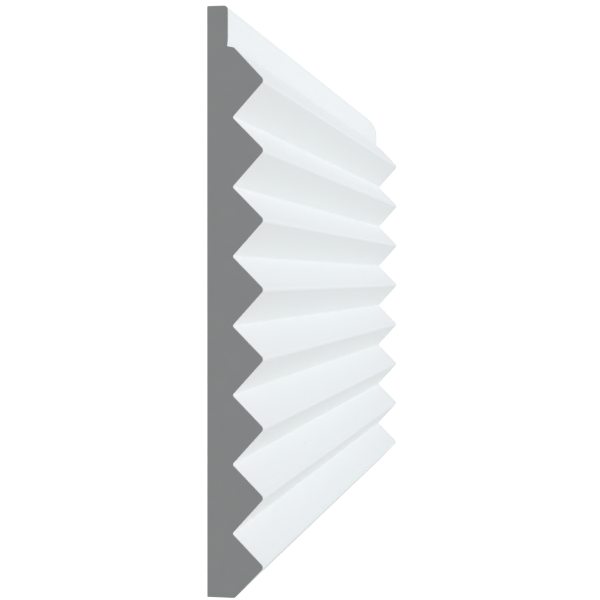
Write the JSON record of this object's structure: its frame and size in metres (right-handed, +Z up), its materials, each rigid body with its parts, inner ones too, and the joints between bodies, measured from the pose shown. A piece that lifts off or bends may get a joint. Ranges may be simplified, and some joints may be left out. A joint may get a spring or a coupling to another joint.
{
  "type": "reeded wall panel",
  "caption": "Wall panel with horizontal V ridges below a flat top lip, flat back, cut square at both ends, fixed with its back against a wall.",
  "frame": {"origin": "middle of the flat back face, at half the length and half the height", "axes": "+X along the ridges, from the end that the picture shows to the far end; +Y out of the back into the wall, so the ridges point to -Y; +Z up, with the flat lip at the top"},
  "size_m": [0.5, 0.0241, 0.25],
  "materials": {
    "primed_white": "matte white primer on an extruded foamed polymer, with a plain mid-grey core showing on the cut ends"
  },
  "bodies": {
    "root": {"reeded_wall_panel": "primed_white"}
  },
  "joints": []
}
